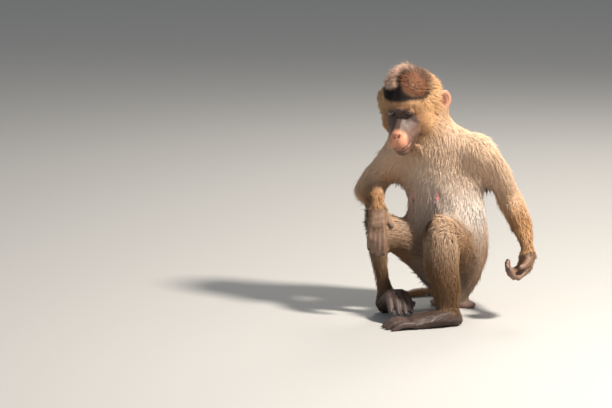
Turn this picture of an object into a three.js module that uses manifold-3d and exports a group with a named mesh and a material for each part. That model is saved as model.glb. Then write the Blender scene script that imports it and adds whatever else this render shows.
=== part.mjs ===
// A sitting pig-tailed macaque, life size, as a still museum model. Millimetres, +Z up.
// The sitter faces -Y and its own left is +X. Chest and face are turned a little to its right.
// The solids give the outline of the coat, out to the tips of the hair. Bare skin has none over it.
// Each sub-part is a loft: rings of points that reach out from a spine until the flesh ends.
import * as THREE from 'three';
import { LoftGeometry } from 'three/addons/geometries/LoftGeometry.js';
import { mergeVertices } from 'three/addons/utils/BufferGeometryUtils.js';
import Module from 'manifold-3d';

const wasm = await Module();
wasm.setup();

// ---------------------------------------------------------------- driving dimensions
const CHEST_TURN = 22; // degrees to the sitter's right
const HEAD_TURN = 22;
const HEAD_BOW = 20; // degrees, looking down
const HEAD_ROLL = 4; // degrees, left side up
const EAR_FLARE = 35; // degrees that each ear stands out from the side of the head
const GAP = 0.5; // between neighbouring solids
const NAIL = 0.9; // thickness of a nail
const SMOOTHED = 0.24; // how far a solid's surface may move to lose its slivers, under half of GAP
const EYE_RADIUS = 9.4;
const EYES_APART = 34;
const EYES_AHEAD = 39.5; // of the middle of the brain case
const PAD_SIZE = [21, 15, 9]; // half axes of a sitting pad
const FINGER = { lengths: [26, 17, 12], radii: [6.0, 5.3, 4.8, 4.2] };
const THUMB = { lengths: [16, 13], radii: [6.4, 5.3, 4.4] };
const TOE = { lengths: [23, 15, 13], radii: [6.8, 6.2, 5.6, 4.8] };
const GREAT_TOE = { lengths: [20, 16], radii: [8.5, 7.4, 6.0] };

const V = (x, y, z) => new THREE.Vector3(x, y, z);
const turned = (degrees) => THREE.MathUtils.degToRad(degrees);
const between = (a, b, t) => a.clone().lerp(b, t);

// ---------------------------------------------------------------- flesh
// A mass is a tapered rod of flesh with round ends. squash thins it along one direction.
function mass(a, b, ra, rb = ra, squash = null) {
  return { a, b, ra, rb, squash };
}

// How far p is outside a mass; negative inside.
function outside({ a, b, ra, rb, squash }, p) {
  const rod = b.clone().sub(a);
  const from = p.clone().sub(a);
  if (squash) {
    for (const v of [rod, from]) {
      v.addScaledVector(squash.along, v.dot(squash.along) * (1 / squash.to - 1));
    }
  }
  const t = THREE.MathUtils.clamp(from.dot(rod) / rod.lengthSq(), 0, 1);
  return from.addScaledVector(rod, -t).length() - THREE.MathUtils.lerp(ra, rb, t);
}

// Masses melted into one. soft is how far the melting reaches.
function flesh(soft, ...masses) {
  return (p) => -soft * Math.log(masses.reduce((sum, m) => sum + Math.exp(-outside(m, p) / soft), 0));
}

// The distance from a point inside the flesh to its surface, along a direction.
function reach(body, from, direction, grow) {
  const STEP = 3;
  const LONGEST = 240;
  const isInside = (d) => body(from.clone().addScaledVector(direction, d)) < grow;
  let far = STEP;
  while (far < LONGEST && isInside(far)) far += STEP;
  let near = far - STEP;
  for (let i = 0; i < 14; i++) {
    const middle = (near + far) / 2;
    if (isInside(middle)) near = middle;
    else far = middle;
  }
  return near;
}

// A closed loft round a spine inside the flesh. The end rings fan out, so that the ends are round.
function loft({ spine, body, facing, rings, sides, fan = [25, 52, 76] }, grow = 0) {
  const curve = new THREE.CatmullRomCurve3(spine);
  const sections = [];
  const ring = (t, lean) => {
    const centre = curve.getPointAt(t);
    const ahead = curve.getTangentAt(t);
    const across = facing.clone().cross(ahead).normalize();
    const up = ahead.clone().cross(across);
    sections.push(Array.from({ length: sides }, (_, i) => {
      const angle = (i / sides) * 2 * Math.PI;
      const ray = across.clone().multiplyScalar(Math.cos(angle)).addScaledVector(up, Math.sin(angle));
      ray.multiplyScalar(Math.cos(turned(lean))).addScaledVector(ahead, Math.sin(turned(lean)));
      return centre.clone().addScaledVector(ray, reach(body, centre, ray, grow));
    }));
  };
  for (const lean of [...fan].reverse()) ring(0, -lean);
  for (let i = 0; i <= rings; i++) ring(i / rings, 0);
  for (const lean of fan) ring(1, lean);
  return new LoftGeometry(sections, { capStart: true, capEnd: true });
}

// ---------------------------------------------------------------- solids
function solid(geometry) {
  const bare = new THREE.BufferGeometry();
  bare.setAttribute('position', geometry.getAttribute('position'));
  bare.setIndex(geometry.index);
  const welded = mergeVertices(bare);
  return new wasm.Manifold(new wasm.Mesh({
    numProp: 3,
    vertProperties: welded.attributes.position.array,
    triVerts: new Uint32Array(welded.index.array),
  }));
}

const shaped = (geometry, matrix) => solid(geometry.applyMatrix4(matrix));
const grown = (part) => solid(loft(part, GAP));
const largest = (made) => made.decompose().sort((p, q) => q.volume() - p.volume())[0];
const cut = (made, ...cutters) => largest(cutters.reduce((rest, c) => rest.subtract(c), made));

const aboveFloor = (made, level = 0) => {
  const SIDE = 1200;
  const block = new THREE.BoxGeometry(SIDE, SIDE, SIDE);
  return made.intersect(shaped(block, new THREE.Matrix4().makeTranslation(0, 0, SIDE / 2 + level)));
};

const macaque = new THREE.Group();

function add(name, made, material) {
  const { vertProperties, triVerts } = made.simplify(SMOOTHED).getMesh();
  const geometry = new THREE.BufferGeometry();
  geometry.setAttribute('position', new THREE.BufferAttribute(new Float32Array(vertProperties), 3));
  geometry.setIndex(new THREE.BufferAttribute(new Uint32Array(triVerts), 1));
  const mesh = new THREE.Mesh(geometry, material);
  mesh.name = name;
  macaque.add(mesh);
}

// ---------------------------------------------------------------- materials
const coat = (color) => new THREE.MeshStandardMaterial({ color, roughness: 0.85, metalness: 0 });
const skin = (color) => new THREE.MeshStandardMaterial({ color, roughness: 0.6, metalness: 0 });
const goldenCoat = coat(0xb08a5c);
const paleCoat = coat(0xd9c7ad);
const darkSkin = skin(0x6b4a3c);
const pinkSkin = skin(0xc79a82);
const padSkin = skin(0x8a6f60);
const hornDark = new THREE.MeshStandardMaterial({ color: 0x2e211b, roughness: 0.4, metalness: 0 });
const eyeWet = new THREE.MeshStandardMaterial({ color: 0x5a3416, roughness: 0.1, metalness: 0 });

// ---------------------------------------------------------------- directions of chest and head
const chestLeft = V(Math.cos(turned(CHEST_TURN)), -Math.sin(turned(CHEST_TURN)), 0);
const chestFront = V(-Math.sin(turned(CHEST_TURN)), -Math.cos(turned(CHEST_TURN)), 0);
const UP = V(0, 0, 1);

const headCentre = V(-70, -46, 410);
const headPose = new THREE.Matrix4()
  .makeTranslation(headCentre)
  .multiply(new THREE.Matrix4().makeRotationZ(-turned(HEAD_TURN)))
  .multiply(new THREE.Matrix4().makeRotationX(turned(HEAD_BOW)))
  .multiply(new THREE.Matrix4().makeRotationY(-turned(HEAD_ROLL)));
// A point of the head: side is the sitter's left, front is ahead of the brain case, up is its crown.
const inHead = (side, front, up) => V(side, -front, up).applyMatrix4(headPose);
const headWay = (side, front, up) => V(side, -front, up).transformDirection(headPose);

// ---------------------------------------------------------------- joints of the skeleton
const hip = { left: V(34, -12, 80), right: V(-16, 30, 80) };
const knee = { left: V(-10, -128, 182), right: V(-133, -50, 184) };
const ankle = { left: V(12, -156, 40), right: V(-112, -54, 44) };
const shoulder = { left: V(66, -50, 318), right: V(-90, -6, 300) };
const elbow = { left: V(130, 22, 209), right: V(-146, 70, 222) };
const wrist = { left: V(159, -98, 134), right: V(-127, -78, 220) };

// ---------------------------------------------------------------- trunk, neck and tail
const thin = { along: chestFront, to: 0.88 };
const torso = {
  spine: [V(21, 14, 60), V(19, 4, 130), V(8, -8, 200), V(-8, -20, 262), V(-16, -24, 316)],
  facing: chestFront,
  rings: 8,
  sides: 18,
  body: flesh(
    10,
    mass(V(21, 18, 76), V(20, 10, 120), 66, 71, thin), // seat
    mass(V(18, 2, 134), V(14, -6, 180), 80, 79, thin), // belly
    mass(V(10, -8, 190), V(-4, -20, 258), 71, 60, thin), // rib cage
    mass(V(-4, -20, 258), V(-14, -24, 318), 56, 52, thin), // upper chest
    mass(V(12, 34, 180), V(-10, 20, 296), 54, 46), // bowed back
    mass(V(38, -24, 244), V(46, -32, 306), 34, 34), // left shoulder blade
    mass(V(-42, 2, 240), V(-64, 2, 296), 34, 36), // right shoulder blade
  ),
};
const girdle = {
  spine: [V(-88, -8, 300), V(-52, -14, 328), V(-14, -22, 344), V(22, -32, 338), V(60, -46, 322)],
  facing: UP,
  rings: 5,
  sides: 12,
  body: flesh(
    7,
    mass(V(-90, -6, 300), V(-44, -16, 334), 34, 38),
    mass(V(64, -46, 320), V(-8, -24, 344), 30, 39),
  ),
};
const neck = {
  spine: [V(-40, -22, 338), V(-42, -24, 364), V(-48, -28, 388)],
  facing: chestFront,
  rings: 2,
  sides: 13,
  body: flesh(
    7,
    mass(V(-18, -22, 344), V(-34, -26, 386), 50, 48),
    mass(V(-72, -16, 332), V(-74, -26, 372), 48, 42),
    mass(V(-22, 10, 322), V(-46, -2, 372), 48, 46), // nape
  ),
};
const tail = {
  spine: [V(27, 78, 62), V(34, 104, 34), V(24, 122, 14), V(-6, 130, 9), V(-42, 122, 8), V(-72, 102, 7)],
  facing: UP,
  rings: 10,
  sides: 7,
};
tail.body = flesh(3, ...tail.spine.slice(1).map((p, i) => mass(tail.spine[i], p, 13 - i * 1.1, 11.9 - i * 1.1)));

// ---------------------------------------------------------------- head, ears and eyes
const skull = {
  spine: [inHead(0, -20, 24), inHead(0, -6, 0), inHead(0, 6, -26)],
  facing: headWay(0, 1, 0),
  rings: 5,
  sides: 22,
  fan: [20, 42, 66],
  body: flesh(
    4,
    mass(inHead(0, -26, 10), inHead(0, 2, 14), 50, 47), // brain case under its fur
    mass(inHead(18, -38, 2), inHead(-18, -38, 2), 38), // back of the head
    mass(inHead(0, -8, 42), inHead(0, 16, 36), 24, 21), // crest
    mass(inHead(36, -8, -8), inHead(33, 16, -42), 26, 21), // cheek ruffs
    mass(inHead(-38, -8, -4), inHead(-35, 16, -38), 28, 22),
    mass(inHead(-19, 38, 9), inHead(19, 38, 9), 12), // brow
    mass(inHead(-14, 20, -24), inHead(14, 20, -24), 24), // face
    mass(inHead(0, -12, -28), inHead(0, 6, -36), 36), // throat
  ),
};
const muzzle = {
  spine: [inHead(0, 28, -42), inHead(0, 48, -40), inHead(0, 70, -45)],
  facing: headWay(0, 0, 1),
  rings: 5,
  sides: 14,
  fan: [20, 42, 66],
  body: flesh(
    3,
    mass(inHead(0, 20, -38), inHead(0, 36, -38), 28, 26), // root
    mass(inHead(-9, 34, -34), inHead(-6, 71, -46), 22, 15), // upper jaw
    mass(inHead(9, 34, -34), inHead(6, 71, -46), 22, 15),
    mass(inHead(0, 40, -8), inHead(0, 77, -30), 8, 9), // nose
    mass(inHead(0, 18, -56), inHead(0, 62, -69), 24, 12.5), // lower jaw
  ),
};
const eyeball = (sign, grow = 0) => shaped(
  new THREE.SphereGeometry(EYE_RADIUS + grow, 12, 7),
  new THREE.Matrix4().makeTranslation(inHead(sign * EYES_APART / 2, EYES_AHEAD, 0)),
);

// An ear is a shallow bowl that opens forwards and out. Grown, it is the whole lens.
function ear(sign, grow = 0) {
  const pose = headPose.clone()
    .multiply(new THREE.Matrix4().makeTranslation(sign * 64, 24, -9))
    .multiply(new THREE.Matrix4().makeRotationZ(-sign * turned(EAR_FLARE)));
  const lens = (x, y, z, shift) => shaped(
    new THREE.SphereGeometry(1, 10, 6),
    pose.clone().multiply(new THREE.Matrix4().makeTranslation(sign * shift, -0.5 * shift, 0))
      .multiply(new THREE.Matrix4().makeScale(x + grow, y + grow, z + grow)),
  );
  const outer = lens(5, 16, 21, 0);
  return grow > 0 ? outer : outer.subtract(lens(4.4, 12, 16, 3.8));
}

// ---------------------------------------------------------------- limbs
function segment(points, radii, { rings, sides, facing = V(1, 0, 0), soft = 5, inset = 0.08 }) {
  const rods = points.slice(1).map((p, i) => mass(points[i], p, radii[i], radii[i + 1]));
  const last = points.length - 1;
  const spine = [between(points[0], points[1], inset), ...points.slice(1, last),
    between(points[last], points[last - 1], inset)];
  return { spine, body: flesh(soft, ...rods), facing, rings, sides };
}

const LIMB = { rings: 5, sides: 12 };
const upperArm = {
  left: segment([shoulder.left, V(108, -14, 264), elbow.left], [38, 29, 31], LIMB),
  right: segment([shoulder.right, V(-119, 32, 261), elbow.right], [40, 33, 30], LIMB),
};
const forearm = {
  left: segment([elbow.left, V(147, -30, 174), wrist.left], [29, 28, 16], LIMB),
  right: segment([elbow.right, V(-137, 0, 224), wrist.right], [28, 29, 19], LIMB),
};
const thigh = {
  left: segment([hip.left, V(18, -66, 136), knee.left], [44, 46, 36], LIMB),
  right: segment([hip.right, V(-76, -10, 138), knee.right], [46, 40, 27], LIMB),
};
const shin = {
  left: segment([knee.left, V(-12, -140, 128), V(2, -150, 66), ankle.left], [33, 41, 36, 20], LIMB),
  right: segment([knee.right, V(-128, -56, 128), ankle.right], [24, 22, 18], LIMB),
};

// ---------------------------------------------------------------- hands and feet
// A paw's directions: point runs out along it, palm faces its gripping side, row runs to the thumb's side.
function pawFrame(point, palm, thumbSide) {
  const p = point.clone().normalize();
  const m = palm.clone().addScaledVector(p, -palm.dot(p)).normalize();
  const row = p.clone().cross(m);
  if (row.dot(thumbSide) < 0) row.negate();
  return { point: p, palm: m, row };
}

// The joints of a digit that bends towards the palm by the given angles, one after the other.
function digitJoints(base, point, palm, lengths, bends) {
  const joints = [base];
  const ways = [];
  let bend = 0;
  lengths.forEach((length, i) => {
    bend += bends[i];
    const way = point.clone().multiplyScalar(Math.cos(turned(bend))).addScaledVector(palm, Math.sin(turned(bend)));
    ways.push(way);
    joints.push(joints[i].clone().addScaledVector(way, length));
  });
  const back = point.clone().multiplyScalar(Math.sin(turned(bend)))
    .addScaledVector(palm, -Math.cos(turned(bend)));
  return { joints, tip: joints[joints.length - 1], way: ways[ways.length - 1], back };
}

function digit(joints, radii) {
  const rods = joints.slice(1).map((p, i) => mass(joints[i], p, radii[i], radii[i + 1]));
  const spine = [...joints.slice(0, -1), between(joints[joints.length - 2], joints[joints.length - 1], 0.9)];
  return { spine, body: flesh(1.2, ...rods), rings: joints.length, sides: 6, fan: [50] };
}

// A nail is a lens on the back of its digit's tip, hollowed by the digit.
function nail(part, { tip, way, back }, radius, paw) {
  const side = way.clone().cross(back);
  const middle = tip.clone().addScaledVector(way, 0.1 * radius).addScaledVector(back, 0.7 * radius);
  const pose = new THREE.Matrix4().makeBasis(side, back, way.clone().negate()).setPosition(middle)
    .multiply(new THREE.Matrix4().makeScale(0.75 * radius, 0.3 * radius + NAIL, 1.1 * radius));
  const lens = shaped(new THREE.SphereGeometry(1, 6, 3), pose);
  return cut(lens, grown(part), paw);
}

// A hand or foot: a body of bones in a fan, four long digits, and a thumb or great toe.
function paw({ name, frame, root, ball, width, depth, digits, long, thumb, heel = null }) {
  const { point, palm, row } = frame;
  const bones = [];
  const made = [];
  const nails = [];
  digits.forEach(({ spread, bends, scale = 1, drop = 0 }, i) => {
    const offset = width * (1 - (2 * i) / (digits.length - 1));
    const base = ball.clone().addScaledVector(row, offset).addScaledVector(point, -Math.abs(offset) * 0.22)
      .addScaledVector(palm, drop);
    bones.push(mass(root.clone().addScaledVector(row, offset * 0.55), base, depth, depth * 0.78));
    const way = point.clone().addScaledVector(row, Math.tan(turned(spread))).normalize();
    const path = digitJoints(base, way, palm, long.lengths.map((l) => l * scale), bends);
    const part = { ...digit(path.joints, long.radii), facing: row };
    made.push(part);
    nails.push([part, path, long.radii.at(-1)]);
  });
  const base = root.clone().addScaledVector(point, thumb.along).addScaledVector(row, thumb.out)
    .addScaledVector(palm, thumb.under);
  const way = point.clone().multiplyScalar(Math.cos(turned(thumb.spread)))
    .addScaledVector(row, Math.sin(turned(thumb.spread))).normalize();
  const path = digitJoints(base, way, palm, thumb.size.lengths, thumb.bends);
  const part = { ...digit(path.joints, thumb.size.radii), facing: row };
  bones.push(mass(root, base, depth, thumb.size.radii[0]));
  made.push(part);
  nails.push([part, path, thumb.size.radii.at(-1)]);
  if (heel) bones.push(mass(root, heel, depth, depth * 1.05));
  const body = {
    spine: [heel ?? between(root, ball, -0.1), between(root, ball, 0.45), between(root, ball, 0.97)],
    body: flesh(2.5, ...bones),
    facing: palm,
    rings: 4,
    sides: 10,
    fan: [50],
  };
  const hand = made.reduce((sum, d) => sum.add(solid(loft(d))), solid(loft(body)));
  return { name, solid: hand, body: grown(body), nails };
}

const hand = {
  left: paw({
    name: 'hand',
    frame: pawFrame(V(-0.22, -0.12, -0.97), V(-0.86, -0.5, 0), V(0, -1, -0.4)),
    root: wrist.left.clone().add(V(-1, -2, -6)),
    ball: V(150, -104, 97),
    width: 12,
    depth: 9.5,
    long: FINGER,
    digits: [
      { spread: 6, bends: [42, 62, 40] },
      { spread: 2, bends: [48, 66, 42], scale: 1.08 },
      { spread: -3, bends: [54, 68, 42] },
      { spread: -9, bends: [58, 70, 42], scale: 0.86 },
    ],
    thumb: { size: THUMB, along: 12, out: 14, under: 6, spread: 30, bends: [35, 30] },
  }),
  right: paw({
    name: 'hand',
    frame: pawFrame(V(-0.02, -0.55, -0.83), V(0, 0.83, -0.55), V(1, 0, 0)),
    root: wrist.right.clone().add(V(0, -5, -6)),
    ball: V(-128, -107, 181),
    width: 11,
    depth: 8.6,
    long: FINGER,
    digits: [
      { spread: 2, bends: [20, 14, 12] },
      { spread: 0, bends: [22, 18, 14], scale: 1.08 },
      { spread: -3, bends: [24, 20, 14] },
      { spread: -7, bends: [26, 22, 14], scale: 0.86 },
    ],
    thumb: { size: THUMB, along: 14, out: 10, under: 3, spread: 36, bends: [6, 10] },
  }),
};

const foot = {
  left: paw({
    name: 'foot',
    frame: pawFrame(V(-0.978, -0.208, 0), V(0, 0, -1), V(-0.2, 1, 0)),
    root: V(3, -160, 19),
    heel: V(19, -156, 12),
    ball: V(-66, -177, 8.5),
    width: 17,
    depth: 13,
    long: TOE,
    digits: [
      { spread: 4, bends: [-12, 22, 22] },
      { spread: 1, bends: [-12, 24, 22], scale: 1.06 },
      { spread: -3, bends: [-10, 22, 22] },
      { spread: -7, bends: [-6, 20, 20], scale: 0.88 },
    ],
    thumb: { size: GREAT_TOE, along: 28, out: 12, under: 3, spread: 12, bends: [0, 4] },
  }),
  right: paw({
    name: 'foot',
    frame: pawFrame(V(0.23, -0.92, 0.3), V(0, 0, -1), V(1, 0, 0)),
    root: V(-110, -50, 21),
    heel: V(-113, -36, 12),
    ball: V(-91, -106, 50),
    width: 17,
    depth: 12,
    long: TOE,
    digits: [
      { spread: 3, bends: [36, 20, 16] },
      { spread: 1, bends: [38, 20, 16], scale: 1.04 },
      { spread: -3, bends: [38, 22, 16] },
      { spread: -7, bends: [38, 22, 16], scale: 0.88 },
    ],
    thumb: { size: GREAT_TOE, along: 30, out: 17, under: 2, spread: 34, bends: [8, 14] },
  }),
};

// ---------------------------------------------------------------- cut apart and add
const whole = (grow, ...parts) => parts.map((part) => solid(loft(part, grow))).reduce((a, b) => a.add(b));
const trunkGrown = whole(GAP, torso, girdle);
const headGrown = whole(GAP, skull, muzzle);
const neckGrown = grown(neck);

function pad(sign, grow = 0) {
  const middle = V(21, 24, 5.5).addScaledVector(chestLeft, 27 * sign);
  const pose = new THREE.Matrix4().makeRotationZ(-turned(CHEST_TURN)).setPosition(middle)
    .multiply(new THREE.Matrix4().makeScale(...PAD_SIZE.map((s) => s + grow)));
  return shaped(new THREE.SphereGeometry(1, 12, 4), pose);
}

add('trunk', aboveFloor(cut(whole(0, torso, girdle), pad(1, GAP), pad(-1, GAP), headGrown), 1), paleCoat);
add('neck', cut(solid(loft(neck)), trunkGrown, headGrown, ear(1, GAP), ear(-1, GAP)), goldenCoat);
add('tail', aboveFloor(cut(solid(loft(tail)), trunkGrown)), goldenCoat);
add('head', cut(whole(0, skull, muzzle), eyeball(1, GAP), eyeball(-1, GAP)), goldenCoat);

for (const [side, sign] of [['left', 1], ['right', -1]]) {
  const upperGrown = grown(upperArm[side]);
  const thighGrown = grown(thigh[side]);
  const shinGrown = grown(shin[side]);
  const forearmGrown = grown(forearm[side]);
  add(`sitting_pad_${side}`, aboveFloor(pad(sign)), padSkin);
  add(`ear_${side}`, cut(ear(sign), headGrown), pinkSkin);
  add(`eye_${side}`, eyeball(sign), eyeWet);
  add(`upper_arm_${side}`, cut(solid(loft(upperArm[side])), trunkGrown, neckGrown, headGrown), goldenCoat);
  add(`forearm_${side}`, cut(solid(loft(forearm[side])), upperGrown, thighGrown, shinGrown), goldenCoat);
  const otherThigh = side === 'right' ? [grown(thigh.left)] : [];
  add(`thigh_${side}`, cut(solid(loft(thigh[side])), trunkGrown, ...otherThigh), goldenCoat);
  add(`shin_${side}`, cut(solid(loft(shin[side])), thighGrown), goldenCoat);
  const paws = [[hand[side], forearmGrown, 'finger'], [foot[side], shinGrown, 'toe']];
  for (const [made, neighbour, digitName] of paws) {
    add(`${made.name}_${side}`, aboveFloor(cut(made.solid, neighbour)), darkSkin);
    made.nails.forEach(([part, path, radius], i) => {
      const label = i < 4 ? `${digitName}_${i + 2}` : `${digitName}_1`;
      add(`nail_${label}_${side}`, aboveFloor(nail(part, path, radius, made.body)), hornDark);
    });
  }
}

// The origin is the middle of the outline's base, on the floor.
const box = new THREE.Box3().setFromObject(macaque);
const middle = box.getCenter(V(0, 0, 0));
macaque.position.set(-middle.x, -middle.y, -box.min.z);

export default macaque;
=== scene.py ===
# %% [markdown]
# # A sitting pig-tailed macaque
# The real thing is a furred animal the height of a small chair seat: bare grey face, pink muzzle, a
# dark cap of hair, a golden back and a white belly. A museum model of it has a cast skin with hair set
# into it, glass eyes and horn nails, and this scene is made in the same order.
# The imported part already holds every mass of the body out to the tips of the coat, so it is loaded
# first and stays fixed. All that is made here is measured from its nodes.

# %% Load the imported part
from math import cos, pi, radians, sin

import bmesh
import bpy
import numpy as np
from mathutils import Matrix, Vector
from mathutils.bvhtree import BVHTree
from mathutils.kdtree import KDTree


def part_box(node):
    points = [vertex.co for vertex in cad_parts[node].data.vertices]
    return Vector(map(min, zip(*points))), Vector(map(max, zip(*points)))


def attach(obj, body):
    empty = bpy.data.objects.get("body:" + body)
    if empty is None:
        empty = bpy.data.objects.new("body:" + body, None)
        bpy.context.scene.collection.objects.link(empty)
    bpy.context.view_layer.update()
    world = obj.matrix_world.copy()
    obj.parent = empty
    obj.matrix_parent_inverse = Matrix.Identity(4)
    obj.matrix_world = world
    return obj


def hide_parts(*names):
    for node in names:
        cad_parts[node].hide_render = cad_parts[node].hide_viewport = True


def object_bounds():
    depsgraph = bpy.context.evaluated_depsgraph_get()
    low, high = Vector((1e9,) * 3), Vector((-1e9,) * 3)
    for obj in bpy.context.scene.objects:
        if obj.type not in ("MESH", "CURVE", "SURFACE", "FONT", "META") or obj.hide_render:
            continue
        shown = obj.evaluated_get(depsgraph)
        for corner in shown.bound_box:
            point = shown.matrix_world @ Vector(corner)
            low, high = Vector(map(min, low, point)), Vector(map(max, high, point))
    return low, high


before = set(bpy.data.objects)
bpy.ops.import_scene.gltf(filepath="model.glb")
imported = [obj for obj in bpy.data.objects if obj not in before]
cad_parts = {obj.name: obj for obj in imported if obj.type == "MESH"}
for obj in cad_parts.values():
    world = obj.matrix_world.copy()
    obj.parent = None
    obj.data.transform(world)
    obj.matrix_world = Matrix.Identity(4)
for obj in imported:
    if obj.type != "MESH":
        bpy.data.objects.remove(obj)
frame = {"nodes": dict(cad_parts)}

cad_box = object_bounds()
nodes = frame["nodes"]
MM = 0.001
rng = np.random.default_rng(7)
print("nodes", len(nodes), "box", [round(v, 3) for corner in cad_box for v in corner])

# %% [markdown]
# ## Where the head is
# Face, crown and ears are all placed from the skull, and the skull is turned, bowed and rolled.
# The glass eyes fix it: the line between them is the head's side axis. The turn and the bow are the
# same two angles that the part was made with, and the third axis follows from the other two.

# %% The head's own axes
HEAD_TURN, HEAD_BOW = radians(22), radians(20)
EYES_AHEAD = 39.5 * MM


def middle(node):
    low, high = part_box(node)
    return (Vector(low) + Vector(high)) / 2


head_side = (middle("eye_left") - middle("eye_right")).normalized()
head_front = Vector((-sin(HEAD_TURN) * cos(HEAD_BOW), -cos(HEAD_TURN) * cos(HEAD_BOW), -sin(HEAD_BOW)))
head_front = (head_front - head_front.project(head_side)).normalized()
head_up = head_front.cross(head_side)
head_middle = (middle("eye_left") + middle("eye_right")) / 2 - head_front * EYES_AHEAD
head_axes = np.array([head_side, head_front, head_up])


def in_head(points):
    """Millimetres to the animal's left, ahead and up from the middle of the brain case."""
    return (np.asarray(points) - np.array(head_middle)) @ head_axes.T / MM


def from_head(side, front, up):
    return np.array(head_middle) + (np.array([side, front, up]) @ head_axes) * MM


def mm_from(points, spot, shape=(1, 1, 1)):
    """Distance from a spot in the world. shape counts an axis for more or for less."""
    return np.linalg.norm((points - np.array(spot)) * shape, axis=1) / MM


print("head at", [round(v, 3) for v in head_middle])

# %% [markdown]
# ## One skin over all the flesh
# A real hide has no seam at the shoulder or the hip, but the part is parted there by thin cuts.
# The pieces could be bridged by hand, edge loop by edge loop. A voxel remesh is quicker and can't
# leave a hole: each node is swollen until it bites its neighbours, and the crowd is wrapped as one.
# The eyes go in as well, so that the lids have something to lie on.

# %% Swell, gather and wrap the flesh
FLESH = [name for name in nodes if not name.startswith(("eye_", "nail_"))]
SWELLING = 0.45 * MM
VOXEL = 1.7 * MM


def gathered(names, swelling):
    crowd = bmesh.new()
    for name in names:
        lump = bmesh.new()
        lump.from_mesh(nodes[name].data)
        bmesh.ops.remove_doubles(lump, verts=lump.verts, dist=0.01 * MM)
        lump.normal_update()
        for v in lump.verts:
            v.co += v.normal * swelling
        copy = bpy.data.meshes.new(name + "_copy")
        lump.to_mesh(copy)
        lump.free()
        crowd.from_mesh(copy)
        bpy.data.meshes.remove(copy)
    return crowd


def placed(name, data):
    piece = bpy.data.objects.new(name, data)
    bpy.context.collection.objects.link(piece)
    return piece


def made(name, bm):
    mesh = bpy.data.meshes.new(name)
    bm.to_mesh(mesh)
    bm.free()
    return placed(name, mesh)


def smooth(mesh):
    mesh.polygons.foreach_set("use_smooth", np.ones(len(mesh.polygons), bool))


def settled(piece):
    """Applies the piece's modifiers."""
    graph = bpy.context.evaluated_depsgraph_get()
    mesh = bpy.data.meshes.new_from_object(piece.evaluated_get(graph))
    piece.modifiers.clear()
    piece.data = mesh
    return piece


skin = made("skin", gathered(FLESH + ["eye_left", "eye_right"], SWELLING))
wrap = skin.modifiers.new("wrap", "REMESH")
wrap.mode, wrap.voxel_size = "VOXEL", VOXEL
settled(skin)
print("wrapped skin", len(skin.data.polygons), "faces")

# %% [markdown]
# ## Which part of the body each point belongs to
# Hair length, colour and the depth of the coat all change from part to part, and they change slowly.
# Painting them by hand would take days. Here every point of the skin asks which node's surface is
# nearest. The answers are blurred over the mesh, so that a thigh fades into a belly.

# %% Nearest node, found from points scattered on every node
def vectors(elements, field):
    flat = np.empty(len(elements) * 3, np.float32)
    elements.foreach_get(field, flat)
    return flat.reshape(-1, 3).astype(float)


def points_of(mesh):
    return vectors(mesh.vertices, "co")


def normals_of(mesh):
    return vectors(mesh.vertex_normals, "vector")


def triangles_of(mesh):
    mesh.calc_loop_triangles()
    tri = np.empty(len(mesh.loop_triangles) * 3, np.int32)
    mesh.loop_triangles.foreach_get("vertices", tri)
    return tri.reshape(-1, 3)


def scattered(mesh, count, weight=None):
    """Evenly spread points on a mesh: the triangles and the three shares of their corners."""
    co, tri = points_of(mesh), triangles_of(mesh)
    a, b, c = co[tri[:, 0]], co[tri[:, 1]], co[tri[:, 2]]
    area = np.linalg.norm(np.cross(b - a, c - a), axis=1) / 2
    if weight is not None:
        area = area * weight[tri].mean(axis=1)
    reach = np.cumsum(area)
    steps = (np.arange(count) + rng.random(count)) / count * reach[-1]
    chosen = np.searchsorted(reach, steps).clip(0, len(tri) - 1)
    r, s = np.sqrt(rng.random(count)), rng.random(count)
    shares = np.stack([1 - r, r * (1 - s), r * s], axis=1)
    return tri[chosen], shares


def mixed(values, corners, shares):
    return np.einsum("nk,nk...->n...", shares, values[corners])


def nearest_node(points):
    tree_points, owner = [], []
    for index, name in enumerate(FLESH):
        mesh = nodes[name].data
        low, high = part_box(name)
        count = int(600 + 9000 * (Vector(high) - Vector(low)).length)
        corners, shares = scattered(mesh, count)
        tree_points.append(mixed(points_of(mesh), corners, shares))
        owner += [index] * count
    tree_points = np.concatenate(tree_points)
    tree = KDTree(len(tree_points))
    for i, p in enumerate(tree_points):
        tree.insert(p, i)
    tree.balance()
    return np.array([owner[tree.find(p)[1]] for p in points])


# %% [markdown]
# ## Fewer faces where fur hides them
# The wrapped skin is as fine on the back as on the fingers. Decimate takes faces away where a vertex
# group lets it, so the group holds all that fur will cover, and face, hands and feet stay fine.

# %% Thin out the furred skin
BARE_NODES = ("hand", "foot", "ear", "head")
SKIN_SHARE = 0.22  # of the faces that are kept
owner = nearest_node(points_of(skin.data))
fine_nodes = np.array([name.startswith(BARE_NODES) for name in FLESH])
behind = in_head(points_of(skin.data))[:, 1] < 5
on_skull = np.array([name == "head" for name in FLESH])
coarse = ~fine_nodes[owner] | (on_skull[owner] & behind)
group = skin.vertex_groups.new(name="furred")
group.add(np.nonzero(coarse)[0].tolist(), 1.0, "REPLACE")
thin = skin.modifiers.new("thin", "DECIMATE")
thin.ratio, thin.vertex_group = SKIN_SHARE, "furred"
settled(skin)
skin.vertex_groups.clear()
print("thinned skin", len(skin.data.polygons), "faces")

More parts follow.
